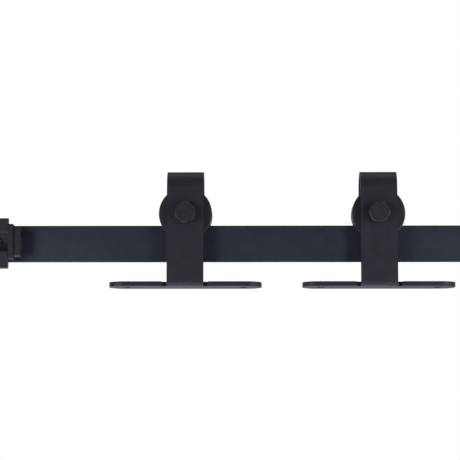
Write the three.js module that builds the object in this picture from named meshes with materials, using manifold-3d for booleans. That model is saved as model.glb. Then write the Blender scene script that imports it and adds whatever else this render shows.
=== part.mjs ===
// Sliding barn door hardware: a flat wall rail, two bent strap hangers on grooved
// wheels, and an end stop with a rubber bumper at each end of the rail.
// Millimetres. +X runs along the rail, +Y into the wall, +Z up.
// The origin is on the wall's surface, on the axis of the middle wall fixing.
import * as THREE from "three";
import { mergeVertices } from "three/addons/utils/BufferGeometryUtils.js";
import Module from "manifold-3d";

const wasm = await Module();
wasm.setup();

// ---------------------------------------------------------------- driving dimensions

const touchGap = 0.3; // between pieces that touch
const overshoot = 1; // cutting tools run past the face they cut
const overlap = 1; // joined bars run into each other
const headFaceShare = 0.45; // round face's radius as a share of the size across flats
const headChamferSlope = 0.6; // rise of the turned chamfer per unit of radius

// rail and its wall fixings
const railLength = 1219.2;
const railHeight = 40;
const railThickness = 6;
const wallFixings = 3;
const wallFixingPitch = 406.4;
const spacerLength = 40;
const spacerDiameter = 20;
const lagDiameter = 8;
const lagAcrossFlats = 13;
const lagHeadHeight = 5.5;
const lagDepthInWall = 50;
const lagTipLength = 8;
const lagTurn = 15; // degrees, where a corner of the head points
const lagWasherRim = 4; // washer radius beyond the screw
const lagWasherThickness = 1.6;
const lagHoleClearance = 0.8;
const spacerToWheelClearance = 2.2; // the wheel's rear flange passes over the spacers

// wheel
const flangeRadius = 29.1;
const treadRadius = 12;
const flangeThickness = 8;
const grooveClearance = 1; // each side of the rail
const grooveEdgeBevel = 1.5;
const wheelEdgeBevel = 1.2;

// ball bearings in the wheel
const axleDiameter = 12;
const bearingSection = 4.5; // bore to outside, on one side
const bearingWidth = 5;
const bearingRecess = 0.5; // below the wheel's side faces
const raceThickness = 1.5;
const ballDiameter = 2.6;
const ballCount = 8;
const cageThickness = 0.6;
const shieldThickness = 0.5;
const wheelBoreLip = 2; // the bore's shoulder against the outer race

// hanger bracket: one bent blank
const strapWidth = 40;
const strapThickness = 5;
const wheelSideSpace = 2; // wheel to strap, filled by a spacer ring
const crownClearance = 13.2; // wheel to the inside of the bend over it
const insideBendRadius = 0.4;
const plateLength = 167;
const plateEndRadius = 17;
const plateBelowRail = 22.8;
const doorScrewSpacing = 128;
const doorScrewHole = 9;
const reliefWidth = 5.5;
const reliefPastBend = 0.2;
const leftHangerFromRailEnd = 214.8;
const hangerSpacing = 211.4;

// axle bolt, its nut and the rings beside the wheel
const axleClearance = 0.3;
const boltAcrossFlats = 22;
const boltHeadHeight = 8;
const boltFaceDiameter = 21;
const leftBoltTurn = -98; // degrees, where a corner of the head points
const rightBoltTurn = 0;
const nutWall = 3.5; // axle to the middle of a flat
const nutHeight = 9;
const nutCollarHeight = 3;
const nutCollarWall = 2.5;
const nutWasherRim = 6;
const nutWasherThickness = 2.5;
const nutCollarLip = 1.2;
const nutInsertRecess = 0.8;
const boltEndPastNut = 2;
const boltEndBevel = 1;
const sideRingWall = 2.5;

// end stops: a front plate, a yoke round the rail behind it, and a seat for the bumper
const stopWidth = 22;
const stopPlateHeight = 54.8;
const stopPlateThickness = 9;
const stopPlateDrop = 1.3; // plate's middle below the rail's middle
const stopYokeWall = 4.3; // above and below the rail
const stopYokeInset = 4; // narrower than the plate, on the bumper's side
const stopFrontWall = 20;
const stopBackWall = 8;
const stopEdgeRadius = 1.6;
const channelHeight = 20; // hollow groove along the plate's front
const channelDepth = 6;
const clampScrewDiameter = 10;
const clampScrewRecess = 0.5; // below the groove's floor
const clampSocketAcrossFlats = 5;
const clampSocketDepth = 5;
const bumperRise = 1; // bumper's middle above the stop's middle
const bumperFlange = { length: 5, height: 37.6, depth: stopFrontWall - touchGap, edge: 1.2 };
const bumperBody = { length: 8.2, height: 32.5, depth: 15, edge: 1.6 };
const bumperScrewDiameter = 5;
const bumperScrewHead = { diameter: 9, height: 3 };
const bumperScrewPocket = 4.4;
const bumperScrewSpacing = 21;
const bumperScrewInStop = 12;

// facets
const bearingFacets = 16;
const coarse = 16;
const fine = 32;

// ---------------------------------------------------------------- places

const flangeDepth = flangeRadius - treadRadius - touchGap; // below the rail's top
const railTop = flangeDepth + spacerDiameter / 2 + spacerToWheelClearance;
const railBottom = railTop - railHeight;
const railBack = -spacerLength;
const railFront = railBack - railThickness;
const railMiddleY = railBack - railThickness / 2;
const railMiddleZ = railTop - railHeight / 2;
const axleZ = railTop + treadRadius + touchGap;
const leftHangerX = -railLength / 2 + leftHangerFromRailEnd;

const bearingRadius = axleDiameter / 2 + bearingSection;
const grooveWidth = railThickness + 2 * grooveClearance;
const wheelWidth = grooveWidth + 2 * flangeThickness;
const legGap = wheelWidth + 2 * wheelSideSpace;
const legOutside = legGap / 2 + strapThickness;
const plateTop = railBottom - plateBelowRail;
const plateBottom = plateTop - strapThickness;
const crownZ = axleZ + flangeRadius + crownClearance - legGap / 2;

// ---------------------------------------------------------------- tools

const X = new THREE.Vector3(1, 0, 0);
const Y = new THREE.Vector3(0, 1, 0);
const Z = new THREE.Vector3(0, 0, 1);

// A solid for cutting and joining, from a closed three.js geometry.
function solid(geometry) {
  const bare = geometry.clone();
  bare.deleteAttribute("normal");
  bare.deleteAttribute("uv");
  const merged = mergeVertices(bare, 1e-5);
  return new wasm.Manifold(new wasm.Mesh({
    numProp: 3,
    vertProperties: new Float32Array(merged.attributes.position.array),
    triVerts: new Uint32Array(merged.index.array),
  }));
}

function toGeometry(manifold) {
  const mesh = manifold.getMesh();
  const geometry = new THREE.BufferGeometry();
  geometry.setAttribute("position", new THREE.BufferAttribute(mesh.vertProperties, 3));
  geometry.setIndex(new THREE.BufferAttribute(mesh.triVerts, 1));
  geometry.computeVertexNormals();
  return geometry;
}

function cut(base, ...tools) {
  return toGeometry(tools.reduce((left, tool) => left.subtract(solid(tool)), solid(base)));
}

function join(base, ...others) {
  return toGeometry(others.reduce((sum, other) => sum.add(solid(other)), solid(base)));
}

function common(first, second) {
  return toGeometry(solid(first).intersect(solid(second)));
}

function box(x, y, z, cx = 0, cy = 0, cz = 0) {
  return new THREE.BoxGeometry(x, y, z).translate(cx, cy, cz);
}

// A round bar between two places on the Y axis.
function barY(radius, y0, y1, facets = coarse) {
  return new THREE.CylinderGeometry(radius, radius, y1 - y0, facets).translate(0, (y0 + y1) / 2, 0);
}

function barX(radius, x0, x1, facets = coarse) {
  return new THREE.CylinderGeometry(radius, radius, x1 - x0, facets)
    .rotateZ(-Math.PI / 2).translate((x0 + x1) / 2, 0, 0);
}

// A turned piece on the Y axis, from [radius, y] points in anticlockwise order.
function turned(points, facets = coarse) {
  return new THREE.LatheGeometry(points.map(([r, y]) => new THREE.Vector2(r, y)), facets);
}

// A flat ring on the Y axis.
function ring(innerRadius, outerRadius, y0, y1, facets = coarse) {
  const corners = [[innerRadius, y0], [outerRadius, y0], [outerRadius, y1], [innerRadius, y1]];
  return turned([...corners, corners[0]], facets);
}

// A hexagonal prism on the Y axis; a corner points the given number of degrees round from +X.
function hexagon(acrossFlats, y0, y1, turn = 0) {
  const radius = acrossFlats / 2 / Math.cos(Math.PI / 6);
  return new THREE.CylinderGeometry(radius, radius, y1 - y0, 6)
    .rotateY(Math.PI / 2 - THREE.MathUtils.degToRad(turn)).translate(0, (y0 + y1) / 2, 0);
}

// A hexagonal head whose front face, at y0, is turned down to a round face.
function chamferedHead(acrossFlats, faceRadius, y0, y1, turn) {
  const corner = acrossFlats / 2 / Math.cos(Math.PI / 6) + touchGap;
  const cone = (corner - faceRadius) * headChamferSlope;
  const envelope = turned([[0, y0], [faceRadius, y0], [corner, y0 + cone], [corner, y1], [0, y1]]);
  return common(hexagon(acrossFlats, y0, y1, turn), envelope);
}

function roundedRectangle(width, height, radius) {
  const shape = new THREE.Shape();
  const w = width / 2 - radius;
  const h = height / 2 - radius;
  shape.absarc(w, h, radius, 0, Math.PI / 2);
  shape.absarc(-w, h, radius, Math.PI / 2, Math.PI);
  shape.absarc(-w, -h, radius, Math.PI, Math.PI * 1.5);
  shape.absarc(w, -h, radius, Math.PI * 1.5, Math.PI * 2);
  return shape;
}

// A (y, z) outline carried along X, centred on x = 0.
function alongX(shape, length, curveSegments = 3) {
  const basis = new THREE.Matrix4().makeBasis(Y, Z, X);
  return new THREE.ExtrudeGeometry(shape, { depth: length, bevelEnabled: false, curveSegments })
    .translate(0, 0, -length / 2).applyMatrix4(basis);
}

// An (x, y) outline carried up from z0 to z1.
function alongZ(shape, z0, z1, curveSegments = 8) {
  return new THREE.ExtrudeGeometry(shape, { depth: z1 - z0, bevelEnabled: false, curveSegments })
    .translate(0, 0, z0);
}

const finishes = {
  powderCoat: { color: 0x2b2c31, roughness: 0.6, metalness: 0.1 },
  blackSteel: { color: 0x222327, roughness: 0.45, metalness: 0.6 },
  bearingSteel: { color: 0xb9bbbd, roughness: 0.25, metalness: 1 },
  brass: { color: 0xb08d4c, roughness: 0.35, metalness: 1 },
  nylon: { color: 0x1f3f7a, roughness: 0.55, metalness: 0 },
  rubber: { color: 0x1c1c1e, roughness: 0.85, metalness: 0 },
};

const assembly = new THREE.Group();

function place(parent, name, geometry, finish, x = 0, y = 0, z = 0) {
  const mesh = new THREE.Mesh(geometry, new THREE.MeshStandardMaterial(finishes[finish]));
  mesh.name = name;
  mesh.position.set(x, y, z);
  parent.add(mesh);
}

// ---------------------------------------------------------------- rail and wall fixings

const fixingPlaces = Array.from({ length: wallFixings },
  (_, i) => (i - (wallFixings - 1) / 2) * wallFixingPitch);
const fixingNames = ["left", "middle", "right"];

function addRail() {
  const holeRadius = (lagDiameter + lagHoleClearance) / 2;
  const holes = fixingPlaces.map((x) =>
    barY(holeRadius, railFront - overshoot, railBack + overshoot).translate(x, 0, 0));
  const bar = box(railLength, railThickness, railHeight, 0, railMiddleY, railMiddleZ);
  place(assembly, "rail", cut(bar, ...holes), "powderCoat");
}

function addWallFixing(name, x) {
  const washerBack = railFront - touchGap;
  const washerFront = washerBack - lagWasherThickness;
  const headBack = washerFront - touchGap;
  const headFront = headBack - lagHeadHeight;
  const lagRadius = lagDiameter / 2;
  const boreRadius = (lagDiameter + lagHoleClearance) / 2;
  place(assembly, `${name}_wall_spacer`,
    ring(boreRadius, spacerDiameter / 2, railBack + touchGap, 0, bearingFacets), "powderCoat", x);
  place(assembly, `${name}_lag_washer`,
    ring(boreRadius, lagRadius + lagWasherRim, washerFront, washerBack), "blackSteel", x);
  const shank = turned([[0, headBack - overlap], [lagRadius, headBack - overlap],
    [lagRadius, lagDepthInWall - lagTipLength], [0, lagDepthInWall]]);
  const head = chamferedHead(lagAcrossFlats, lagAcrossFlats * headFaceShare,
    headFront, headBack, lagTurn);
  place(assembly, `${name}_lag_screw`, join(head, shank), "blackSteel", x);
}

// ---------------------------------------------------------------- hangers

// Side outline of the strap, measured from the rail's middle plane: along the foot,
// up in front of the rail, over the wheel, and down behind it.
function strapOutline() {
  const outsideBend = insideBendRadius + strapThickness;
  const inner = legGap / 2;
  const rearEnd = axleZ - strapWidth / 2;
  const outline = new THREE.Shape();
  outline.moveTo(legOutside, plateTop);
  outline.lineTo(-inner + insideBendRadius, plateTop);
  outline.absarc(-inner + insideBendRadius, plateTop + insideBendRadius, insideBendRadius,
    -Math.PI / 2, -Math.PI, true);
  outline.lineTo(-inner, crownZ);
  outline.absarc(0, crownZ, inner, Math.PI, 0, true);
  outline.lineTo(inner, rearEnd);
  outline.lineTo(legOutside, rearEnd);
  outline.lineTo(legOutside, crownZ);
  outline.absarc(0, crownZ, legOutside, 0, Math.PI, false);
  outline.lineTo(-legOutside, plateBottom + outsideBend);
  outline.absarc(-legOutside + outsideBend, plateBottom + outsideBend, outsideBend,
    Math.PI, Math.PI * 1.5, false);
  outline.lineTo(legOutside, plateBottom);
  outline.closePath();
  return outline;
}

// Plan outline of the base plate, set back between its two bend reliefs.
function plateOutline() {
  const endRadius = Math.min(plateEndRadius, legOutside);
  const endX = plateLength / 2 - endRadius;
  const side = legOutside - endRadius;
  const notchX = strapWidth / 2 + reliefWidth;
  const notchY = -legOutside + insideBendRadius + strapThickness + reliefPastBend;
  const outline = new THREE.Shape();
  outline.moveTo(notchX, -legOutside);
  outline.absarc(endX, -side, endRadius, -Math.PI / 2, 0);
  outline.absarc(endX, side, endRadius, 0, Math.PI / 2);
  outline.absarc(-endX, side, endRadius, Math.PI / 2, Math.PI);
  outline.absarc(-endX, -side, endRadius, Math.PI, Math.PI * 1.5);
  outline.lineTo(-notchX, -legOutside);
  outline.lineTo(-notchX, notchY);
  outline.lineTo(notchX, notchY);
  outline.closePath();
  for (const x of [-doorScrewSpacing / 2, doorScrewSpacing / 2]) {
    const hole = new THREE.Path();
    hole.absarc(x, 0, doorScrewHole / 2, 0, Math.PI * 2, true);
    outline.holes.push(hole);
  }
  return outline;
}

function bracketGeometry() {
  const strap = alongX(strapOutline(), strapWidth, 8);
  const plate = alongZ(plateOutline(), plateBottom, plateTop);
  const bolt = barY(axleDiameter / 2 + axleClearance, -legOutside - overshoot,
    legOutside + overshoot).translate(0, 0, axleZ);
  const rearEndHeight = strapWidth / 2 + overshoot;
  const rearEndZone = box(strapWidth + 2 * overshoot, strapThickness + overshoot, rearEndHeight,
    0, legOutside - strapThickness / 2, axleZ - rearEndHeight / 2);
  const rearEndRound = barY(strapWidth / 2, 0, legOutside + 2 * overshoot, fine).translate(0, 0, axleZ);
  const rearCorners = cut(rearEndZone, rearEndRound);
  return cut(join(strap, plate), bolt, rearCorners);
}

// One row of balls in their ribbon cage, middle at y = 0.
function ballCageGeometry(pitchRadius) {
  const balls = Array.from({ length: ballCount }, (_, i) =>
    new THREE.SphereGeometry(ballDiameter / 2, 6, 4)
      .translate(pitchRadius, 0, 0).rotateY((i * 2 * Math.PI) / ballCount));
  const half = cageThickness / 2;
  const cage = ring(pitchRadius - half, pitchRadius + half, -half, half, ballCount * 2);
  return join(cage, ...balls);
}

// A race on the Y axis with its round ball track; side is 1 for the inner race and -1 for
// the outer one, whose track faces inwards.
function raceGeometry(backRadius, side, pitchRadius) {
  const half = bearingWidth / 2;
  const trackRadius = ballDiameter / 2 + touchGap;
  const faceRadius = backRadius + side * raceThickness;
  const reach = Math.acos(Math.abs(pitchRadius - faceRadius) / trackRadius);
  const track = Array.from({ length: 4 }, (_, i) => {
    const angle = reach * (1 - i / 1.5);
    return [pitchRadius - side * trackRadius * Math.cos(angle), trackRadius * Math.sin(angle)];
  });
  const outline = [[backRadius, half], [backRadius, -half], [faceRadius, -half],
    ...track.map(([r, y]) => [r, -y]), [faceRadius, half], [backRadius, half]];
  return turned(side === 1 ? outline : outline.reverse(), bearingFacets);
}

function addBearing(parent, name, y) {
  const innerBack = axleDiameter / 2 + touchGap;
  const outerBack = bearingRadius;
  const pitchRadius = (innerBack + outerBack) / 2;
  const shieldInner = innerBack + raceThickness + touchGap;
  const shieldOuter = outerBack - raceThickness - touchGap;
  place(parent, `${name}_bearing_inner_race`, raceGeometry(innerBack, 1, pitchRadius),
    "bearingSteel", 0, y);
  place(parent, `${name}_bearing_outer_race`, raceGeometry(outerBack, -1, pitchRadius),
    "bearingSteel", 0, y);
  place(parent, `${name}_bearing_balls`, ballCageGeometry(pitchRadius), "bearingSteel", 0, y);
  for (const [word, side] of [["front", -1], ["rear", 1]]) {
    const middle = side * (bearingWidth - shieldThickness) / 2;
    place(parent, `${name}_bearing_${word}_shield`,
      ring(shieldInner, shieldOuter, middle - shieldThickness / 2, middle + shieldThickness / 2,
        bearingFacets), "rubber", 0, y);
  }
}

// The grooved wheel, middle at y = 0, with a stepped bore for the two bearings.
function wheelGeometry() {
  const half = wheelWidth / 2;
  const groove = grooveWidth / 2;
  const seat = bearingRadius + touchGap;
  const seatEnd = half - bearingRecess - bearingWidth - touchGap;
  const bore = seat - wheelBoreLip;
  return turned([
    [bore, -seatEnd], [seat, -seatEnd], [seat, -half],
    [flangeRadius - wheelEdgeBevel, -half], [flangeRadius, -half + wheelEdgeBevel],
    [flangeRadius, -groove - grooveEdgeBevel], [flangeRadius - grooveEdgeBevel, -groove],
    [treadRadius, -groove], [treadRadius, groove],
    [flangeRadius - grooveEdgeBevel, groove], [flangeRadius, groove + grooveEdgeBevel],
    [flangeRadius, half - wheelEdgeBevel], [flangeRadius - wheelEdgeBevel, half],
    [seat, half], [seat, seatEnd], [bore, seatEnd], [bore, -seatEnd],
  ], fine);
}

function addAxle(parent, headTurn) {
  const radius = axleDiameter / 2;
  const headBack = -legOutside - touchGap;
  const washerFront = legOutside + touchGap;
  const nutFront = washerFront + nutWasherThickness + touchGap;
  const nutBack = nutFront + nutHeight;
  const boltEnd = nutBack + nutCollarHeight + boltEndPastNut;
  const head = chamferedHead(boltAcrossFlats, boltFaceDiameter / 2,
    headBack - boltHeadHeight, headBack, headTurn);
  const shank = turned([[0, headBack - overlap], [radius, headBack - overlap],
    [radius, boltEnd - boltEndBevel], [radius - boltEndBevel, boltEnd], [0, boltEnd]]);
  place(parent, "axle_bolt", join(head, shank), "blackSteel");
  const bore = radius + touchGap;
  place(parent, "axle_washer",
    ring(bore, radius + nutWasherRim, washerFront, washerFront + nutWasherThickness), "blackSteel");

  // The lock nut is a hexagon with a round collar, hollowed for its nylon insert.
  const insertBack = nutBack + nutCollarHeight - nutInsertRecess;
  const collarRadius = radius + nutCollarWall;
  const insertRadius = collarRadius - nutCollarLip;
  const insertHole = barY(insertRadius + touchGap, nutBack - touchGap, insertBack + overshoot);
  const nut = join(hexagon(axleDiameter + 2 * nutWall, nutFront, nutBack),
    barY(collarRadius, nutBack - overlap, nutBack + nutCollarHeight));
  place(parent, "axle_nut", cut(nut, barY(bore, nutFront - overshoot, boltEnd), insertHole), "blackSteel");
  place(parent, "nut_insert", ring(bore, insertRadius, nutBack, insertBack), "nylon");
}

// Rings that carry the strap's clamping force through the inner races.
function addAxleRings(parent) {
  const bore = axleDiameter / 2 + touchGap;
  const ringRadius = axleDiameter / 2 + sideRingWall;
  const bearingFace = wheelWidth / 2 - bearingRecess;
  const outside = legGap / 2 - touchGap;
  const inside = bearingFace + touchGap;
  place(parent, "front_side_ring", ring(bore, ringRadius, -outside, -inside), "brass");
  place(parent, "rear_side_ring", ring(bore, ringRadius, inside, outside), "brass");
  const sleeveHalf = bearingFace - bearingWidth - touchGap;
  place(parent, "bearing_sleeve", ring(bore, bore + raceThickness, -sleeveHalf, sleeveHalf),
    "bearingSteel");
}

function addHanger(side, x, headTurn) {
  place(assembly, `${side}_bracket`, bracketGeometry(), "powderCoat", x, railMiddleY);
  const axle = new THREE.Group();
  axle.position.set(x, railMiddleY, axleZ);
  assembly.add(axle);
  const bearingY = wheelWidth / 2 - bearingRecess - bearingWidth / 2;
  place(axle, "wheel", wheelGeometry(), "powderCoat");
  addBearing(axle, "front", -bearingY);
  addBearing(axle, "rear", bearingY);
  addAxle(axle, headTurn);
  addAxleRings(axle);
  axle.children.forEach((mesh) => {
    mesh.name = `${side}_${mesh.name}`;
  });
}

// ---------------------------------------------------------------- end stops

const stopFront = railFront - stopFrontWall;
const stopBack = railBack + stopBackWall;
const yokeFront = stopFront + stopPlateThickness / 2; // inside the plate, so that they join
const yokeMiddleY = (yokeFront + stopBack) / 2;
const channelFloor = stopFront + channelDepth;
const channelRadius = (channelHeight ** 2 / 4 + channelDepth ** 2) / (2 * channelDepth);

function yokeOutline() {
  const height = railHeight + 2 * (touchGap + stopYokeWall);
  const outline = roundedRectangle(stopBack - yokeFront, height, stopEdgeRadius);
  const slot = new THREE.Path();
  const slotHalf = railHeight / 2 + touchGap;
  const slotFront = railFront - touchGap - yokeMiddleY;
  const slotBack = railBack + touchGap - yokeMiddleY;
  slot.moveTo(slotFront, -slotHalf);
  slot.lineTo(slotFront, slotHalf);
  slot.lineTo(slotBack, slotHalf);
  slot.lineTo(slotBack, -slotHalf);
  slot.closePath();
  outline.holes.push(slot);
  return outline;
}

function stopBlockGeometry(inward) {
  const plate = alongX(roundedRectangle(stopPlateThickness, stopPlateHeight, stopEdgeRadius),
    stopWidth).translate(0, stopFront + stopPlateThickness / 2, -stopPlateDrop);
  const yoke = alongX(yokeOutline(), stopWidth - stopYokeInset)
    .translate(-inward * stopYokeInset / 2, yokeMiddleY, 0);
  const seatBack = railFront - touchGap;
  const seat = box(stopWidth, seatBack - yokeFront, bumperFlange.height - 2 * touchGap,
    0, (seatBack + yokeFront) / 2, bumperRise);
  const channelEnd = stopWidth / 2 + overshoot;
  const channel = barX(channelRadius, -channelEnd, channelEnd, fine)
    .translate(0, channelFloor - channelRadius, 0);
  const clampHole = barY(clampScrewDiameter / 2 + touchGap, stopFront, railFront);
  const screwDepth = bumperScrewInStop + touchGap;
  const bumperHoles = [-1, 1].map((level) =>
    barX(bumperScrewDiameter / 2 + touchGap, stopWidth / 2 - screwDepth,
      stopWidth / 2 + overshoot)
      .rotateZ(inward === 1 ? 0 : Math.PI)
      .translate(0, bumperY, bumperRise + level * bumperScrewSpacing / 2));
  return cut(join(plate, yoke, seat), channel, clampHole, ...bumperHoles);
}

const bumperY = railFront - touchGap - bumperFlange.depth / 2;

function bumperGeometry(inward) {
  const step = ({ length, height, depth, edge }, start) =>
    alongX(roundedRectangle(depth, height, edge), length).translate(start + length / 2, 0, 0);
  const total = bumperFlange.length + bumperBody.length;
  const flange = step(bumperFlange, 0);
  const body = step({ ...bumperBody, length: total }, 0);
  const holes = [-1, 1].flatMap((level) => {
    const lift = level * bumperScrewSpacing / 2;
    const past = total + overshoot;
    return [barX(bumperScrewDiameter / 2 + touchGap, -overshoot, past).translate(0, 0, lift),
      barX(bumperScrewHead.diameter / 2 + touchGap, total - bumperScrewPocket, past)
        .translate(0, 0, lift)];
  });
  const bumper = cut(join(flange, body), ...holes);
  return inward === 1 ? bumper : bumper.rotateY(Math.PI);
}

function bumperScrewGeometry(inward) {
  const total = bumperFlange.length + bumperBody.length;
  const seat = total - bumperScrewPocket + touchGap;
  const tip = -bumperScrewInStop;
  const screw = join(barX(bumperScrewHead.diameter / 2, seat, seat + bumperScrewHead.height),
    barX(bumperScrewDiameter / 2, tip, seat + overlap));
  return inward === 1 ? screw : screw.rotateY(Math.PI);
}

function addEndStop(side, inward) {
  const stop = new THREE.Group();
  stop.position.set(-inward * (railLength - stopWidth) / 2, 0, railMiddleZ);
  assembly.add(stop);
  const face = inward * (stopWidth / 2 + touchGap);
  place(stop, `${side}_stop_block`, stopBlockGeometry(inward), "powderCoat");
  place(stop, `${side}_bumper`, bumperGeometry(inward), "rubber", face, bumperY, bumperRise);
  for (const [word, level] of [["lower", -1], ["upper", 1]]) {
    place(stop, `${side}_${word}_bumper_screw`, bumperScrewGeometry(inward), "blackSteel",
      inward * stopWidth / 2, bumperY, bumperRise + level * bumperScrewSpacing / 2);
  }
  const screwFront = channelFloor + clampScrewRecess;
  const screw = barY(clampScrewDiameter / 2, screwFront, railFront - touchGap);
  const socket = hexagon(clampSocketAcrossFlats, screwFront - overshoot,
    screwFront + clampSocketDepth);
  place(stop, `${side}_clamp_screw`, cut(screw, socket), "blackSteel");
}

// ---------------------------------------------------------------- assembly

addRail();
fixingPlaces.forEach((x, i) => addWallFixing(fixingNames[i], x));
addHanger("left", leftHangerX, leftBoltTurn);
addHanger("right", leftHangerX + hangerSpacing, rightBoltTurn);
addEndStop("left", 1);
addEndStop("right", -1);

export default assembly;
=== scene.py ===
import math

import bmesh
import bpy
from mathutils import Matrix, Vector


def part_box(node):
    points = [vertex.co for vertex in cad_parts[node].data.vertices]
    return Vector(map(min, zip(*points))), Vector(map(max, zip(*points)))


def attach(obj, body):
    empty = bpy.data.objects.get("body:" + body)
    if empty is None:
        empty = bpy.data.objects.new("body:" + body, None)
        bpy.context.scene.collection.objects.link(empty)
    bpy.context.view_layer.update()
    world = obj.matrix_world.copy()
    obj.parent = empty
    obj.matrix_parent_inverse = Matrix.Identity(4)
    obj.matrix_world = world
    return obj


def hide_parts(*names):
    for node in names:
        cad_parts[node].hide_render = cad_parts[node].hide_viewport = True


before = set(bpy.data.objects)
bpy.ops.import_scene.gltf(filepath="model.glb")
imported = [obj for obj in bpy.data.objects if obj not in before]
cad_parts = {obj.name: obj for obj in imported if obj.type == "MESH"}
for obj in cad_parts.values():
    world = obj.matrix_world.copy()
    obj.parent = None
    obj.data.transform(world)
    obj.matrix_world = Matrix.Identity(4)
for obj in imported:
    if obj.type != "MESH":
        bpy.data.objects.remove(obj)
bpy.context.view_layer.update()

MM = 0.001
SIDES = ("left", "right")
TURN = 2 * math.pi


# ------------------------------------------------------------ places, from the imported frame

class Box:
    """A CAD node's box: its corners, size and middle."""

    def __init__(self, node):
        self.low, self.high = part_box(node)
        self.size = self.high - self.low
        self.middle = (self.high + self.low) / 2


rail_box = Box("rail")
AXLES = {}
for side in SIDES:
    AXLES[side] = Box(f"{side}_wheel").middle
hanger_middle = (AXLES["left"] + AXLES["right"]) / 2


# ------------------------------------------------------------ materials

class Nodes:
    """Short calls for building one procedural material."""

    def __init__(self, name):
        self.material = bpy.data.materials.new(name)
        self.material.use_nodes = True
        self.tree = self.material.node_tree
        self.shader = self.tree.nodes["Principled BSDF"]
        coordinates = self.tree.nodes.new("ShaderNodeTexCoord")
        self.place = coordinates.outputs["Object"]

    def set(self, **sockets):
        for name, value in sockets.items():
            self.shader.inputs[name.replace("_", " ")].default_value = value

    def node(self, kind, **values):
        made = self.tree.nodes.new(kind)
        for key, value in values.items():
            if key in made.inputs:
                made.inputs[key].default_value = value
            else:
                setattr(made, key, value)
        return made

    def link(self, source, target):
        self.tree.links.new(source, target)

    def noise(self, scale, detail=3.0, stretch=(1, 1, 1)):
        mapping = self.node("ShaderNodeMapping")
        mapping.inputs["Scale"].default_value = stretch
        self.link(self.place, mapping.inputs["Vector"])
        noise = self.node("ShaderNodeTexNoise", Scale=scale, Detail=detail)
        self.link(mapping.outputs["Vector"], noise.inputs["Vector"])
        return noise.outputs["Fac"]

    def ramp(self, source, stops):
        ramp = self.node("ShaderNodeValToRGB")
        elements = ramp.color_ramp.elements
        for element, (place, colour) in zip(elements, stops):
            element.position = place
            element.color = (*colour, 1)
        self.link(source, ramp.inputs["Fac"])
        return ramp.outputs["Color"]

    def spread(self, source, low, high):
        """Carries a 0 to 1 texture to the given range."""
        spread = self.node("ShaderNodeMapRange")
        spread.inputs["To Min"].default_value = low
        spread.inputs["To Max"].default_value = high
        self.link(source, spread.inputs["Value"])
        return spread.outputs["Result"]

    def bump(self, source, height, strength=1.0, under=None):
        bump = self.node("ShaderNodeBump", Strength=strength, Distance=height)
        self.link(source, bump.inputs["Height"])
        if under is not None:
            self.link(under, bump.inputs["Normal"])
        return bump.outputs["Normal"]


def powder_coat(name, colour, tint=0.12):
    """Fine-textured powder coat: a close grain over a slow orange peel."""
    m = Nodes(name)
    dark = tuple(c * (1 - tint) for c in colour)
    light = tuple(c * (1 + tint) for c in colour)
    m.link(m.ramp(m.noise(90, 4), ((0.3, dark), (0.7, light))), m.shader.inputs["Base Color"])
    grain = m.noise(2600, 2)
    m.link(m.spread(m.noise(900, 3), 0.46, 0.62), m.shader.inputs["Roughness"])
    peel = m.bump(m.noise(420, 2), 0.05 * MM, 0.5)
    m.link(m.bump(grain, 0.03 * MM, 0.6, peel), m.shader.inputs["Normal"])
    m.set(IOR=1.5)
    return m.material


def turned_black(name, colour):
    """Coated turned steel: fine rings about the Y axis under a satin coat."""
    m = Nodes(name)
    separate = m.node("ShaderNodeSeparateXYZ")
    m.link(m.place, separate.inputs["Vector"])
    flat = m.node("ShaderNodeCombineXYZ")
    m.link(separate.outputs["X"], flat.inputs["X"])
    m.link(separate.outputs["Z"], flat.inputs["Z"])
    radius = m.node("ShaderNodeVectorMath", operation="LENGTH")
    m.link(flat.outputs["Vector"], radius.inputs[0])
    line = m.node("ShaderNodeTexNoise", noise_dimensions="1D", Scale=3000.0, Detail=2.0)
    m.link(radius.outputs["Value"], line.inputs["W"])
    dark = tuple(c * 0.85 for c in colour)
    light = tuple(c * 1.15 for c in colour)
    m.link(m.ramp(m.noise(120, 4), ((0.3, dark), (0.7, light))), m.shader.inputs["Base Color"])
    m.link(m.spread(line.outputs["Fac"], 0.38, 0.52), m.shader.inputs["Roughness"])
    fine = m.bump(m.noise(1800, 2), 0.02 * MM, 0.5)
    m.link(m.bump(line.outputs["Fac"], 0.03 * MM, 0.6, fine), m.shader.inputs["Normal"])
    return m.material


def black_oxide(name, colour):
    """Blackened steel: a thin dark oxide with a faint metallic mottle."""
    m = Nodes(name)
    dark = tuple(c * 0.75 for c in colour)
    light = tuple(c * 1.3 for c in colour)
    m.link(m.ramp(m.noise(260, 5), ((0.3, dark), (0.72, light))), m.shader.inputs["Base Color"])
    m.link(m.spread(m.noise(700, 4), 0.36, 0.55), m.shader.inputs["Roughness"])
    m.link(m.bump(m.noise(2200, 3), 0.02 * MM, 0.6), m.shader.inputs["Normal"])
    m.set(Metallic=0.35)
    return m.material


def rubber(name, colour, grain=1500):
    m = Nodes(name)
    dark = tuple(c * 0.8 for c in colour)
    light = tuple(c * 1.25 for c in colour)
    m.link(m.ramp(m.noise(160, 5), ((0.3, dark), (0.75, light))), m.shader.inputs["Base Color"])
    m.link(m.spread(m.noise(600, 3), 0.48, 0.66), m.shader.inputs["Roughness"])
    m.link(m.bump(m.noise(grain, 3), 0.05 * MM, 0.7), m.shader.inputs["Normal"])
    return m.material


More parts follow.
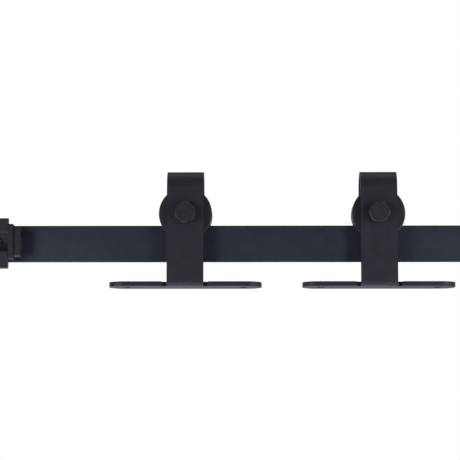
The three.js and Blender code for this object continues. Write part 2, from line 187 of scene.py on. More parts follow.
def bare_metal(name, colour, low=0.18, high=0.34):
    """Ground metal with fine scratches run round the axle."""
    m = Nodes(name)
    dark = tuple(c * 0.88 for c in colour)
    m.link(m.ramp(m.noise(300, 4), ((0.3, dark), (0.7, colour))), m.shader.inputs["Base Color"])
    m.link(m.spread(m.noise(900, 5, (1, 12, 1)), low, high), m.shader.inputs["Roughness"])
    m.link(m.bump(m.noise(1600, 3, (1, 12, 1)), 0.01 * MM, 0.5), m.shader.inputs["Normal"])
    m.set(Metallic=1.0)
    return m.material


def plastic(name, colour):
    m = Nodes(name)
    dark = tuple(c * 0.9 for c in colour)
    m.link(m.ramp(m.noise(200, 3), ((0.3, dark), (0.7, colour))), m.shader.inputs["Base Color"])
    m.link(m.spread(m.noise(500, 3), 0.4, 0.55), m.shader.inputs["Roughness"])
    m.link(m.bump(m.noise(1200, 2), 0.02 * MM, 0.5), m.shader.inputs["Normal"])
    return m.material


FINISH = {
    "powder_coat": powder_coat("powder_coat_strap", (0.0205, 0.0235, 0.0290)),
    # The stop's coat is the strap's powder coat made darker. This is painted shade, offsetting the
    # extra light the left softbox throws on the stops.
    "stop_coat_painted_shade": powder_coat("powder_coat_stop_painted_shade", (0.0178, 0.0198, 0.0240)),
    "rail_coat": powder_coat("powder_coat_rail", (0.0240, 0.0310, 0.0425)),
    "black_wheel": turned_black("wheel_coat", (0.0335, 0.0350, 0.0400)),
    "black_steel": black_oxide("black_oxide", (0.041, 0.042, 0.046)),
    "rubber": rubber("bumper_rubber", (0.0165, 0.017, 0.019)),
    "seal": rubber("seal_rubber", (0.012, 0.012, 0.014), 2500),
    "bearing_steel": bare_metal("bearing_steel", (0.62, 0.63, 0.64)),
    "brass": bare_metal("turned_brass", (0.66, 0.48, 0.20), 0.24, 0.4),
    "nylon": plastic("blue_nylon", (0.05, 0.12, 0.36)),
}


# ------------------------------------------------------------ mesh helpers

def finish_piece(bm, name, finish, body, nodes, at=Vector((0, 0, 0))):
    """Turns a bmesh, built about its own origin, into a piece at that place riding on a body."""
    mesh = bpy.data.meshes.new(name)
    bmesh.ops.recalc_face_normals(bm, faces=bm.faces)
    bm.to_mesh(mesh)
    bm.free()
    for polygon in mesh.polygons:
        polygon.use_smooth = True
    piece = bpy.data.objects.new(f"{name}_piece", mesh)
    bpy.context.collection.objects.link(piece)
    piece.location = at
    mesh.materials.append(FINISH[finish])
    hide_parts(*nodes)
    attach(piece, body)
    return piece


def bevel(piece, width, segments=3, angle=35):
    """Rounds the piece's sharp edges."""
    modifier = piece.modifiers.new("edges", "BEVEL")
    modifier.width = width
    modifier.segments = segments
    modifier.limit_method = "ANGLE"
    modifier.angle_limit = math.radians(angle)
    modifier.harden_normals = True
    modifier.miter_outer = "MITER_ARC"
    return piece


def filleted(points, segments=4):
    """Rounds the corners of a closed outline of (x, y, radius) points."""
    out = []
    count = len(points)
    for i, (x, y, radius) in enumerate(points):
        here = Vector((x, y))
        if radius <= 0:
            out.append(here)
            continue
        before = (Vector(points[i - 1][:2]) - here)
        after = (Vector(points[(i + 1) % count][:2]) - here)
        a, b = before.normalized(), after.normalized()
        half = a.angle(b) / 2
        reach = min(radius / math.tan(half), before.length * 0.49, after.length * 0.49)
        radius = reach * math.tan(half)
        centre = here + (a + b).normalized() * (radius / math.sin(half))
        start, end = here + a * reach - centre, here + b * reach - centre
        sweep = start.angle_signed(end)
        for k in range(segments + 1):
            angle = -sweep * k / segments
            turned = Vector((start.x * math.cos(angle) - start.y * math.sin(angle),
                             start.x * math.sin(angle) + start.y * math.cos(angle)))
            out.append(centre + turned)
    return out


def revolve(outline, segments=96, closed=True):
    """A bmesh turned about the Y axis from (radius, y) points in millimetres."""
    bm = bmesh.new()
    rings = []
    for k in range(segments):
        angle = TURN * k / segments
        ring = []
        for r, y in outline:
            ring.append(bm.verts.new((r * MM * math.cos(angle), y * MM, r * MM * math.sin(angle))))
        rings.append(ring)
    count = len(outline)
    edges = count if closed else count - 1
    for k in range(segments):
        one, two = rings[k], rings[(k + 1) % segments]
        for i in range(edges):
            j = (i + 1) % count
            bm.faces.new((one[i], one[j], two[j], two[i]))
    bmesh.ops.remove_doubles(bm, verts=bm.verts, dist=1e-7)
    return bm


def ring_outline(inner, outer, y0, y1, edge):
    return filleted([(inner, y0, edge), (outer, y0, edge), (outer, y1, edge), (inner, y1, edge)])


def prism(outline, axis, low, high):
    """A bmesh from a closed outline in millimetres, carried along X or Z between two places."""
    bm = bmesh.new()

    def corner(a, b, c):
        return (c, a, b) if axis == "X" else (a, b, c)

    ends = []
    for place in (low, high):
        ends.append([bm.verts.new(Vector(corner(p[0], p[1], place)) * MM) for p in outline])
    bm.faces.new(ends[0])
    bm.faces.new(reversed(ends[1]))
    for i in range(len(outline)):
        j = (i + 1) % len(outline)
        bm.faces.new((ends[0][i], ends[0][j], ends[1][j], ends[1][i]))
    bmesh.ops.recalc_face_normals(bm, faces=bm.faces)
    return bm


def boolean(piece, other_bm, operation):
    """Joins or cuts a bmesh, built in the same place as the piece's own mesh."""
    mesh = bpy.data.meshes.new("other")
    bmesh.ops.recalc_face_normals(other_bm, faces=other_bm.faces)
    other_bm.to_mesh(mesh)
    other_bm.free()
    other = bpy.data.objects.new("other", mesh)
    bpy.context.collection.objects.link(other)
    other.location = piece.matrix_world.translation
    modifier = piece.modifiers.new("boolean", "BOOLEAN")
    modifier.operation = operation
    modifier.object = other
    modifier.solver = "EXACT"
    bpy.context.view_layer.update()
    evaluated = piece.evaluated_get(bpy.context.evaluated_depsgraph_get())
    name = piece.data.name
    piece.data = bpy.data.meshes.new_from_object(evaluated)
    piece.data.name = name
    piece.modifiers.clear()
    bpy.data.objects.remove(other)
    for polygon in piece.data.polygons:
        polygon.use_smooth = True


def cut_with(piece, cutter_bm):
    boolean(piece, cutter_bm, "DIFFERENCE")


def join_with(piece, other_bm):
    boolean(piece, other_bm, "UNION")


def round_bar(radius, low, high, axis="Y", segments=48, at=(0, 0, 0)):
    """A closed round bar in millimetres, for cutting holes."""
    bm = bmesh.new()
    bmesh.ops.create_cone(bm, cap_ends=True, segments=segments, radius1=radius * MM,
                          radius2=radius * MM, depth=(high - low) * MM)
    along = {"Y": Vector((0, 1, 0)), "X": Vector((1, 0, 0))}[axis]
    turn = Vector((0, 0, 1)).rotation_difference(along)
    bmesh.ops.rotate(bm, verts=bm.verts, matrix=turn.to_matrix())
    middle = along * ((low + high) / 2) + Vector(at)
    bmesh.ops.translate(bm, verts=bm.verts, vec=middle * MM)
    return bm


def hexagon_radius(apothem, corner, angle, turn):
    """Distance from the axis to a hexagon's side, with its corners eased."""
    step = TURN / 6
    off = (angle - turn + step / 2) % step - step / 2
    plain = apothem / math.cos(step / 2 - abs(off))
    limit = apothem / math.cos(step / 2) - corner
    softness = 0.04 * apothem
    return plain - softness * math.log1p(math.exp((plain - limit) / softness))


def hex_head(apothem, face, front, back, turn, segments=144, slope=0.95):
    """A chamfered hexagon head on the Y axis; its round face of that radius is at the front."""
    bm = bmesh.new()
    rings = []
    rim, edge = 0.35, 0.3
    for k in range(segments):
        angle = TURN * k / segments
        side = hexagon_radius(apothem, 0.25, angle, turn)
        drop = max(side - face, 0.1) * slope
        inner = min(face - rim, side - edge - rim)
        middle = min(face + rim, side - edge * 0.6)
        profile = [(0.0, front), (inner * 0.6, front), (inner, front),
                   (middle - rim * 0.7, front + 0.03),
                   (middle, front + (middle - inner) * slope * 0.4),
                   (side - edge * 0.3, front + drop), (side, front + drop + edge),
                   (side, back - edge), (side - edge, back), (0.0, back)]
        rings.append([bm.verts.new((r * MM * math.cos(angle), y * MM, r * MM * math.sin(angle)))
                      for r, y in profile])
    for k in range(segments):
        one, two = rings[k], rings[(k + 1) % segments]
        for i in range(len(one) - 1):
            bm.faces.new((one[i], one[i + 1], two[i + 1], two[i]))
    bmesh.ops.remove_doubles(bm, verts=bm.verts, dist=1e-7)
    return bm


def threaded_bar(major, minor, pitch, plain_to, low, high, tip=0.0, segments=40, steps=8):
    """A bar on the Y axis, plain up to plain_to, then with a helical thread; tip is a pointed end."""
    bm = bmesh.new()
    levels = [low, plain_to]
    turns = (high - plain_to) / pitch
    count = int(turns * steps)
    levels += [plain_to + (high - plain_to) * (k + 1) / count for k in range(count)]
    rings = []
    for y in levels:
        ring = []
        for k in range(segments):
            angle = TURN * k / segments
            phase = ((y - plain_to) / pitch - k / segments) % 1.0
            ridge = max(0.0, 1 - abs(phase - 0.5) * 3.2)
            radius = minor + (major - minor) * min(ridge * 1.35, 1.0)
            if y <= plain_to:
                radius = major
            elif y < plain_to + pitch:
                radius = major + (radius - major) * (y - plain_to) / pitch
            if y > high - tip > low:
                radius *= max((high - y) / tip, 0.0) ** 0.8
            elif not tip and y > high - pitch:
                radius = min(radius, minor + (major - minor) * (high - y) / pitch)
            ring.append(bm.verts.new((radius * MM * math.cos(angle), y * MM,
                                      radius * MM * math.sin(angle))))
        rings.append(ring)
    for one, two in zip(rings, rings[1:]):
        for k in range(segments):
            j = (k + 1) % segments
            bm.faces.new((one[k], one[j], two[j], two[k]))
    bm.faces.new(rings[0])
    if not tip:
        bm.faces.new(reversed(rings[-1]))
    bmesh.ops.remove_doubles(bm, verts=bm.verts, dist=1e-7)
    return bm


def merge(*parts):
    """One bmesh holding all of them."""
    total = bmesh.new()
    for part in parts:
        mesh = bpy.data.meshes.new("part")
        part.to_mesh(mesh)
        part.free()
        total.from_mesh(mesh)
        bpy.data.meshes.remove(mesh)
    return total


# ------------------------------------------------------------ rail and wall fixings

def make_rail():
    size = rail_box.size / MM
    half_x, half_z = size.x / 2, size.z / 2
    outline = filleted([(-size.y / 2, -half_z, 0.7), (size.y / 2, -half_z, 0.7),
                        (size.y / 2, half_z, 0.7), (-size.y / 2, half_z, 0.7)])
    bm = prism(outline, "X", -half_x, half_x)
    rail = finish_piece(bm, "rail", "rail_coat", "rail_and_stops", ["rail"], rail_box.middle)
    for name in ("left", "middle", "right"):
        fixing = Box(f"{name}_wall_spacer").middle - rail_box.middle
        hole = round_bar(4.4, -size.y, size.y, at=(fixing.x / MM, 0, fixing.z / MM))
        cut_with(rail, hole)
    bevel(rail, 0.4 * MM, 2)


def make_wall_fixing(name):
    body = "rail_and_stops"
    spacer = Box(f"{name}_wall_spacer")
    length = spacer.size.y / MM
    outline = ring_outline(4.4, 10, -length / 2, length / 2, 0.6)
    finish_piece(revolve(outline), f"{name}_wall_spacer", "powder_coat", body,
                 [f"{name}_wall_spacer"], spacer.middle)
    washer = Box(f"{name}_lag_washer")
    half = washer.size.y / MM / 2
    finish_piece(revolve(ring_outline(4.4, 8, -half, half, 0.35)), f"{name}_lag_washer",
                 "black_steel", body, [f"{name}_lag_washer"], washer.middle)
    screw = Box(f"{name}_lag_screw")
    at = Vector((screw.middle.x, 0, screw.middle.z))
    front, end = screw.low.y / MM, screw.high.y / MM
    head_back = washer.low.y / MM - 0.3
    head = hex_head(6.5, 5.6, front, head_back, math.radians(15))
    shank = threaded_bar(4, 2.9, 3.2, 5, head_back - 0.5, end, tip=9)
    finish_piece(merge(head, shank), f"{name}_lag_screw", "black_steel", body,
                 [f"{name}_lag_screw"], at)


# ------------------------------------------------------------ hangers

STRAP = 40.0
THICK = 5.0
INSIDE_BEND = 0.4
NOTCH = 5.5
NOTCH_DEPTH = 5.6
END_RADIUS = 17.0
DOOR_HOLE = 4.5
DOOR_HOLE_SPACING = 128.0
AXLE_HOLE = 6.3


def make_bracket(side):
    """The hanger as its flat blank, bent: base plate, foot bend, front leg, crown, rear leg."""
    name = f"{side}_bracket"
    place = Box(name)
    axle = AXLES[side]
    half = place.size.y / MM / 2
    half_length = place.size.x / MM / 2
    mid_radius = half - THICK / 2
    foot_radius = INSIDE_BEND + THICK / 2
    foot_start = 2 * half - THICK - INSIDE_BEND
    foot_arc = foot_radius * math.pi / 2
    bottom = place.low.z / MM
    foot_top = bottom + THICK + INSIDE_BEND
    crown = place.high.z / MM - half
    leg = crown - foot_top
    crown_arc = mid_radius * math.pi
    axle_z = axle.z / MM
    rear = crown - axle_z + STRAP / 2
    total = foot_start + foot_arc + leg + crown_arc + rear

    def path(u, s):
        """Middle surface and its upper normal at blank place s, for |u| on the strap or a wing."""
        if s <= foot_start or abs(u) > STRAP / 2 + NOTCH * 0.6:
            return (half - s, bottom + THICK / 2), (0, 1)
        s -= foot_start
        if s <= foot_arc:
            angle = s / foot_radius
            middle = (-half + THICK + INSIDE_BEND, foot_top)
            out = (-math.sin(angle), -math.cos(angle))
            return (middle[0] + out[0] * foot_radius, middle[1] + out[1] * foot_radius), \
                (-out[0], -out[1])
        s -= foot_arc
        if s <= leg:
            return (-mid_radius, foot_top + s), (1, 0)
        s -= leg
        if s <= crown_arc:
            angle = s / mid_radius
            out = (-math.cos(angle), math.sin(angle))
            return (out[0] * mid_radius, crown + out[1] * mid_radius), (-out[0], -out[1])
        s -= crown_arc
        return (mid_radius, crown - s), (-1, 0)

    front = 2 * half
    notch_s = front - NOTCH_DEPTH
    strap, wing = STRAP / 2, STRAP / 2 + NOTCH
    right = [(half_length, 0, END_RADIUS), (half_length, front, END_RADIUS), (wing, front, 0.4),
             (wing, notch_s, 1.6), (strap, notch_s, 1.6), (strap, total, strap - 0.01)]
    left = [(-u, s, r) for u, s, r in reversed(right)]
    outline = filleted(right + left, 14)
    bm = bmesh.new()
    loops = [[bm.verts.new((p[0], p[1], 0)) for p in outline]]
    front_hole = foot_start + foot_arc + (axle_z - foot_top)
    rear_hole = foot_start + foot_arc + leg + crown_arc + (crown - axle_z)
    for u, s, radius in ((-DOOR_HOLE_SPACING / 2, half, DOOR_HOLE),
                         (DOOR_HOLE_SPACING / 2, half, DOOR_HOLE),
                         (0, front_hole, AXLE_HOLE), (0, rear_hole, AXLE_HOLE)):
        loops.append([bm.verts.new((u + radius * math.cos(TURN * k / 48),
                                    s + radius * math.sin(TURN * k / 48), 0)) for k in range(48)])
    for loop in loops:
        for i, vertex in enumerate(loop):
            bm.edges.new((vertex, loop[(i + 1) % len(loop)]))
    bmesh.ops.triangle_fill(bm, edges=bm.edges, use_beauty=True)
    cuts = [foot_start + foot_arc * k / 8 for k in range(9)]
    crown_start = foot_start + foot_arc + leg
    cuts += [crown_start + crown_arc * k / 40 for k in range(41)]
    for s in cuts:
        parts = bm.verts[:] + bm.edges[:] + bm.faces[:]
        bmesh.ops.bisect_plane(bm, geom=parts, plane_co=(0, s, 0), plane_no=(0, 1, 0), dist=1e-5)
    bmesh.ops.dissolve_limit(bm, angle_limit=0.01, verts=bm.verts[:], edges=[])
    flat = bm.faces[:]
    raised = bmesh.ops.extrude_face_region(bm, geom=flat, use_keep_orig=True)
    upper = {v for v in raised["geom"] if isinstance(v, bmesh.types.BMVert)}
    for vertex in bm.verts:
        u, s = vertex.co.x, vertex.co.y
        (y, z), normal = path(u, s)
        lift = THICK / 2 if vertex in upper else -THICK / 2
        vertex.co = Vector((u, y + normal[0] * lift, z + normal[1] * lift)) * MM
    at = Vector((axle.x, axle.y, 0))
    bracket = finish_piece(bm, name, "powder_coat", f"{side}_hanger", [name], at)
    bevel(bracket, 0.45 * MM, 3, 40)


def make_wheel(side):
    wheel = Box(f"{side}_wheel")
    half = wheel.size.y / MM / 2
    flange = wheel.size.z / MM / 2
    groove, tread, seat, lip = 4.0, 12.0, 10.8, 8.8
    seat_end = half - 5.8
    quarter = [(lip, -seat_end, 0.2), (seat, -seat_end, 0), (seat, -half, 0.3)]
    quarter += [(flange, -half, 0.6), (flange, -groove - 0.4, 1.4),
                (flange - 1.4, -groove, 1.2), (tread, -groove, 1.0)]
    outline = quarter + [(r, -y, edge) for r, y, edge in reversed(quarter)]
    finish_piece(revolve(filleted(outline, 5), 128), f"{side}_wheel", "black_wheel",
                 f"{side}_wheel", [f"{side}_wheel"], wheel.middle)


def make_bearing(side, end):
    """One sealed ball bearing: races with round tracks, balls in a ribbon cage, two seals."""
    node = f"{side}_{end}_bearing"
    hanger, wheel, balls = f"{side}_hanger", f"{side}_wheel", f"{side}_bearing_balls"
    inner = Box(f"{node}_inner_race")
    half = inner.size.y / MM / 2
    pitch, ball, track = 8.4, 1.3, 1.5
    for name, body, back, way in (("inner_race", hanger, 6.3, 1), ("outer_race", wheel, 10.5, -1)):
        face = back + way * 1.5
        reach = math.acos(abs(pitch - face) / track)
        arc = [(pitch - way * track * math.cos(reach * (k / 8 - 1)),
                track * math.sin(reach * (k / 8 - 1))) for k in range(17)]
        outline = [Vector((back, half)), Vector((back, -half)), Vector((face, -half))]
        outline += [Vector(point) for point in arc] + [Vector((face, half))]
        race = finish_piece(revolve(outline, 64), f"{node}_{name}", "bearing_steel", body,
                            [f"{node}_{name}"], inner.middle)
        bevel(race, 0.2 * MM, 2, 50)
    ring = revolve(ring_outline(pitch - 0.3, pitch + 0.3, -0.4, 0.4, 0.15), 64)
    parts = [ring]
    for k in range(8):
        angle = TURN * k / 8
        sphere = bmesh.new()
        bmesh.ops.create_icosphere(sphere, subdivisions=3, radius=ball * MM)
        centre = Vector((pitch * math.cos(angle), 0, pitch * math.sin(angle))) * MM
        bmesh.ops.translate(sphere, verts=sphere.verts, vec=centre)
        parts.append(sphere)
    finish_piece(merge(*parts), f"{node}_balls", "bearing_steel", balls,
                 [f"{node}_balls"], inner.middle)
    for word in ("front", "rear"):
        shield = Box(f"{node}_{word}_shield")
        thick = shield.size.y / MM / 2
        outline = filleted([(8.1, -thick, 0.1), (8.35, -thick, 0.1), (8.45, -thick * 0.3, 0.05),
                            (8.6, -thick, 0.1), (8.7, -thick, 0.1), (8.7, thick, 0.1),
                            (8.1, thick, 0.1)], 2)
        finish_piece(revolve(outline, 64), f"{node}_{word}_shield", "seal", wheel,
                     [f"{node}_{word}_shield"], shield.middle)


def make_axle(side, turn):
    body = f"{side}_hanger"
    axle = AXLES[side]
    bolt = Box(f"{side}_axle_bolt")
    start = bolt.low.y - axle.y
    end = bolt.high.y - axle.y
    nut = Box(f"{side}_axle_nut")
    nut_front, nut_back = (nut.low.y - axle.y) / MM, (nut.high.y - axle.y) / MM
    head_back = start / MM + 8
    head = hex_head(11, 10.4, start / MM, head_back, math.radians(turn))
    shank = threaded_bar(6, 5.1, 1.75, nut_front - 3, head_back - 0.5, end / MM)
    finish_piece(merge(head, shank), f"{side}_axle_bolt", "black_steel", body,
                 [f"{side}_axle_bolt"], axle)
    washer = Box(f"{side}_axle_washer")
    half = washer.size.y / MM / 2
    finish_piece(revolve(ring_outline(6.3, 12, -half, half, 0.4)), f"{side}_axle_washer",
                 "black_steel", body, [f"{side}_axle_washer"], washer.middle)
    make_nut(side, body, axle, nut_front, nut_back)
    for word in ("front", "rear"):
        ring = Box(f"{side}_{word}_side_ring")
        half = ring.size.y / MM / 2
        finish_piece(revolve(ring_outline(6.3, 8.5, -half, half, 0.25)),
                     f"{side}_{word}_side_ring", "brass", body, [f"{side}_{word}_side_ring"],
                     ring.middle)
    sleeve = Box(f"{side}_bearing_sleeve")
    half = sleeve.size.y / MM / 2
    finish_piece(revolve(ring_outline(6.3, 7.8, -half, half, 0.3)), f"{side}_bearing_sleeve",
                 "bearing_steel", body, [f"{side}_bearing_sleeve"], sleeve.middle)


def make_nut(side, body, axle, front, back):
    """A lock nut: chamfered hexagon, round collar and a nylon ring held inside it."""
    hexagon_end = back - 3
    bm = bmesh.new()
    rings = []
    segments = 144
    for k in range(segments):
        angle = TURN * k / segments
        flat = hexagon_radius(9.5, 0.2, angle, 0)
        drop = max(flat - 9.2, 0) * 0.55
        profile = [(6.3, front), (9.0, front), (flat - 0.2, front + drop + 0.05),
                   (flat, front + drop + 0.3), (flat, hexagon_end - drop - 0.3),
                   (flat - 0.25, hexagon_end - drop), (8.9, hexagon_end),
                   (8.6, hexagon_end + 0.4), (8.5, back - 1.2), (8.2, back - 0.3),
                   (7.9, back), (7.6, back), (7.6, hexagon_end - 0.3), (6.3, hexagon_end - 0.3)]
        rings.append([bm.verts.new((r * MM * math.cos(angle), y * MM, r * MM * math.sin(angle)))
                      for r, y in profile])
    for k in range(segments):
        one, two = rings[k], rings[(k + 1) % segments]
        for i in range(len(one)):
            j = (i + 1) % len(one)
            bm.faces.new((one[i], one[j], two[j], two[i]))
    finish_piece(bm, f"{side}_axle_nut", "black_steel", body, [f"{side}_axle_nut"], axle)
    insert = Box(f"{side}_nut_insert")
    half = insert.size.y / MM / 2
    finish_piece(revolve(ring_outline(6.2, 7.3, -half, half, 0.3)), f"{side}_nut_insert",
                 "nylon", body, [f"{side}_nut_insert"], insert.middle)


# ------------------------------------------------------------ end stops

STOP_PLATE = 9.0
STOP_YOKE_WIDTH = 18.0
STOP_YOKE_WALL = 4.6
CHANNEL_HALF = 10.0
CHANNEL_DEPTH = 6.0
CHANNEL_LIP = 1.1
SOCKET_ACROSS = 5.0


def make_stop(side, inward):
    """End stop: grooved front plate, yoke round the rail, seat for the bumper, clamp screw."""
    body = "rail_and_stops"
    block = Box(f"{side}_stop_block")
    bumper = Box(f"{side}_bumper")
    at = Vector((block.middle.x, 0, rail_box.middle.z))
    half_x = block.size.x / MM / 2
    front, back = block.low.y / MM, block.high.y / MM
    bottom, top = (block.low.z - at.z) / MM, (block.high.z - at.z) / MM
    rail_front, rail_back = rail_box.low.y / MM, rail_box.high.y / MM
    rail_half = rail_box.size.z / MM / 2
    plate_back = front + STOP_PLATE
    edge = 1.6
    plate = filleted([(front, bottom, edge), (plate_back, bottom, edge), (plate_back, top, edge),
                      (front, top, edge), (front, CHANNEL_HALF + 0.9, 0)], 6)
    radius = (CHANNEL_HALF ** 2 + CHANNEL_DEPTH ** 2) / (2 * CHANNEL_DEPTH)
    middle_y = front + CHANNEL_DEPTH - radius
    reach = math.acos((front + CHANNEL_LIP - middle_y) / radius)
    for k in range(25):
        angle = reach * (1 - k / 12)
        plate.append(Vector((middle_y + radius * math.cos(angle), radius * math.sin(angle))))
    plate.append(Vector((front, -CHANNEL_HALF - 0.9)))
    # The block takes the darker stop coat, which is painted shade over the strap's powder coat.
    stop = finish_piece(prism(plate, "X", -half_x, half_x), f"{side}_stop_block",
                        "stop_coat_painted_shade", body, [f"{side}_stop_block"], at)
    yoke_front, yoke_half = front + STOP_PLATE - 1, rail_half + STOP_YOKE_WALL
    yoke = filleted([(yoke_front, -yoke_half, 0), (back, -yoke_half, edge),
                     (back, yoke_half, edge), (yoke_front, yoke_half, 0)], 5)
    ends = sorted((-inward * half_x, -inward * (half_x - STOP_YOKE_WIDTH)))
    join_with(stop, prism(yoke, "X", *ends))
    low, high = (bumper.low.z - at.z) / MM + 0.3, (bumper.high.z - at.z) / MM - 0.3
    seat = [(front + STOP_PLATE - 1, low), (rail_front - 0.3, low), (rail_front - 0.3, high),
            (front + STOP_PLATE - 1, high)]
    join_with(stop, prism(seat, "X", -half_x + 0.01, half_x - 0.01))
    gap = 0.3
    slot = [(rail_front - gap, -rail_half - gap), (rail_back + gap, -rail_half - gap),
            (rail_back + gap, rail_half + gap), (rail_front - gap, rail_half + gap)]
    cut_with(stop, prism(slot, "X", -2 * half_x, 2 * half_x))
    cut_with(stop, round_bar(5.3, front - 1, rail_front))
    screws = [Box(f"{side}_{word}_bumper_screw") for word in ("lower", "upper")]
    span = sorted((inward * (half_x - 12.3), inward * (half_x + 2)))
    for screw in screws:
        level = (screw.middle.z - at.z) / MM
        cut_with(stop, round_bar(2.8, *span, axis="X", at=(0, screw.middle.y / MM, level)))
    bevel(stop, 0.6 * MM, 3, 35)
    make_bumper(side, inward, body, bumper, screws)
    for word, screw in zip(("lower", "upper"), screws):
        make_bumper_screw(f"{side}_{word}_bumper_screw", inward, body, screw)
    clamp = Box(f"{side}_clamp_screw")
    start, end = clamp.low.y / MM, clamp.high.y / MM
    screw = finish_piece(threaded_bar(5, 4.3, 1.5, start + 0.6, start, end),
                         f"{side}_clamp_screw", "black_steel", body, [f"{side}_clamp_screw"],
                         Vector((clamp.middle.x, 0, clamp.middle.z)))
    cut_with(screw, round_bar(SOCKET_ACROSS / math.sqrt(3), start - 1, start + 5, segments=6))


def soft_box(length, height, depth, edge, start):
    """A rounded moulded block along X, from start, in millimetres."""
    outline = filleted([(-depth / 2, -height / 2, edge), (depth / 2, -height / 2, edge),
                        (depth / 2, height / 2, edge), (-depth / 2, height / 2, edge)], 6)
    return prism(outline, "X", start, start + length)


def make_bumper(side, inward, body, box, screws):
    """Stepped rubber bumper: a flange on the block, a narrower body with eased edges."""
    size = box.size / MM
    flange, depth, height = 5.0, 15.0, 32.5
    outline_flange = soft_box(flange, size.z, size.y, 1.2, 0)
    piece = finish_piece(outline_flange, f"{side}_bumper", "rubber", body, [f"{side}_bumper"],
                         Vector((box.low.x if inward == 1 else box.high.x,
                                 box.middle.y, box.middle.z)))
    core = soft_box(size.x - 0.5, height, depth, 1.6, 0.5)
    join_with(piece, core)
    for screw in screws:
        level = (screw.middle.z - box.middle.z) / MM
        cut_with(piece, round_bar(2.8, -1, size.x + 1, axis="X", at=(0, 0, level)))
        cut_with(piece, round_bar(4.8, size.x - 4.4, size.x + 1, axis="X", at=(0, 0, level)))
    if inward == -1:
        for vertex in piece.data.vertices:
            vertex.co.x = -vertex.co.x
        piece.data.flip_normals()
    bevel(piece, 0.7 * MM, 4, 35)


def make_bumper_screw(name, inward, body, box):
    """A pan-head screw along X with a cross-shaped drive."""
    length = box.size.x / MM
    profile = [(0.0, 0.0), (3.0, 0.0), (4.1, 0.45), (4.5, 1.3), (4.5, 2.8), (4.3, 3.0),
               (2.5, 3.0), (2.5, length - 1), (1.9, length), (0.0, length)]
    bm = revolve([Vector(p) for p in profile], 64, closed=False)
    turn = Vector((0, 1, 0)).rotation_difference(Vector((-inward, 0, 0)))
    bmesh.ops.rotate(bm, verts=bm.verts, matrix=turn.to_matrix())
    at = Vector((box.high.x if inward == 1 else box.low.x, box.middle.y, box.middle.z))
    piece = finish_piece(bm, name, "black_steel", body, [name], at)
    for along, across in ((0.9, 5.0), (5.0, 0.9)):
        bar = bmesh.new()
        bmesh.ops.create_cube(bar, size=1.0)
        bmesh.ops.scale(bar, vec=Vector((3.2, along, across)) * MM, verts=bar.verts)
        cut_with(piece, bar)


# ------------------------------------------------------------ build

make_rail()
for fixing in ("left", "middle", "right"):
    make_wall_fixing(fixing)
for side, head_turn in (("left", -98), ("right", 0)):
    make_bracket(side)
    make_wheel(side)
    make_axle(side, head_turn)
    for end in ("front", "rear"):
        make_bearing(side, end)
make_stop("left", 1)
make_stop("right", -1)


# ------------------------------------------------------------ floor, light, camera

def make_floor():
    """A pale floor well below the rail."""
    bm = bmesh.new()
    bmesh.ops.create_grid(bm, x_segments=1, y_segments=1, size=14.0)
    mesh = bpy.data.meshes.new("floor")
    bm.to_mesh(mesh)
    bm.free()
    floor = bpy.data.objects.new("floor", mesh)
    floor.location = (0, 0, -1.1)
    bpy.context.collection.objects.link(floor)
    m = Nodes("pale_floor")
    m.set(Base_Color=(0.93, 0.93, 0.93, 1), Roughness=0.9)
    m.link(m.bump(m.noise(3, 2), 0.2 * MM, 0.2), m.shader.inputs["Normal"])
    path = m.node("ShaderNodeLightPath")
    m.set(Emission_Color=(1, 1, 1, 1))
    strength = m.node("ShaderNodeMath", operation="MULTIPLY")
    strength.inputs[1].default_value = 0.75
    m.link(path.outputs["Is Camera Ray"], strength.inputs[0])
    m.link(strength.outputs["Value"], m.shader.inputs["Emission Strength"])
    mesh.materials.append(m.material)


LIGHT_TINT = (0.88, 0.90, 1.0)


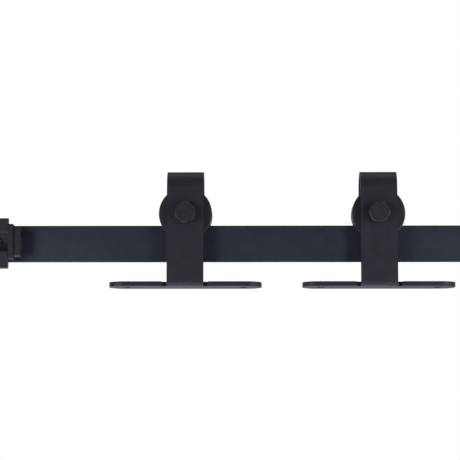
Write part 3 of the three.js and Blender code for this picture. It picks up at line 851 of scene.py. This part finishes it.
def make_world():
    """White to the camera, softer as a light."""
    world = bpy.data.worlds.new("studio")
    bpy.context.scene.world = world
    world.use_nodes = True
    tree = world.node_tree
    seen = tree.nodes["Background"]
    seen.inputs["Color"].default_value = (1, 1, 1, 1)
    seen.inputs["Strength"].default_value = 1.0
    light = tree.nodes.new("ShaderNodeBackground")
    light.inputs["Color"].default_value = (*LIGHT_TINT, 1)
    light.inputs["Strength"].default_value = 0.05
    path = tree.nodes.new("ShaderNodeLightPath")
    mix = tree.nodes.new("ShaderNodeMixShader")
    tree.links.new(path.outputs["Is Camera Ray"], mix.inputs["Fac"])
    tree.links.new(light.outputs["Background"], mix.inputs[1])
    tree.links.new(seen.outputs["Background"], mix.inputs[2])
    tree.links.new(mix.outputs["Shader"], tree.nodes["World Output"].inputs["Surface"])


def area_light(name, place, target, size, power, colour=(1, 1, 1)):
    data = bpy.data.lights.new(name, "AREA")
    data.shape = "RECTANGLE"
    data.size, data.size_y = size
    data.energy = power
    data.color = colour
    light = bpy.data.objects.new(name, data)
    light.location = place
    light.rotation_mode = "QUATERNION"
    light.rotation_quaternion = (Vector(target) - Vector(place)).to_track_quat("-Z", "Y")
    bpy.context.collection.objects.link(light)
    return light


# name, place from the middle of the two wheels, width and height, power in watts
LIGHTS = (
    ("left_softbox", (-1.15, -1.03, -0.1), (0.5, 1.2), 9.6),
    ("right_softbox", (1.0, -0.9, -0.1), (0.44, 1.1), 7.1),
    ("low_front", (0.1, -0.35, -0.8), (1.4, 0.35), 1.8),
    ("back", (0.0, 1.6, 0.2), (4.0, 1.4), 14.0),
    ("under_back", (0.5, 0.6, -1.0), (3.0, 0.8), 9.0),
    ("under_left", (-0.45, 0.05, -0.5), (0.3, 0.3), 1.6),
    ("far_right", (1.3, -0.3, 0.0), (0.4, 1.0), 2.6),
    ("top", (0.0, 0.25, 1.2), (2.0, 0.5), 4.4),
)


def make_lights():
    centre = hanger_middle
    for name, place, size, power in LIGHTS:
        area_light(name, centre + Vector(place), centre, size, power, LIGHT_TINT)


def make_camera():
    """A long lens a little below the rail, looking slightly up."""
    data = bpy.data.cameras.new("camera")
    data.sensor_width = 36
    data.lens = 131.7
    camera = bpy.data.objects.new("camera", data)
    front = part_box("left_bracket")[0].y
    camera.location = (hanger_middle.x - 0.0301, front - 1.8184, rail_box.high.z - 0.2295)
    camera.rotation_euler = (math.radians(90 + 6.98), math.radians(-0.038), math.radians(0.835))
    bpy.context.collection.objects.link(camera)
    bpy.context.scene.camera = camera


make_floor()
make_world()
make_lights()
make_camera()
bpy.context.scene.view_settings.view_transform = "Standard"
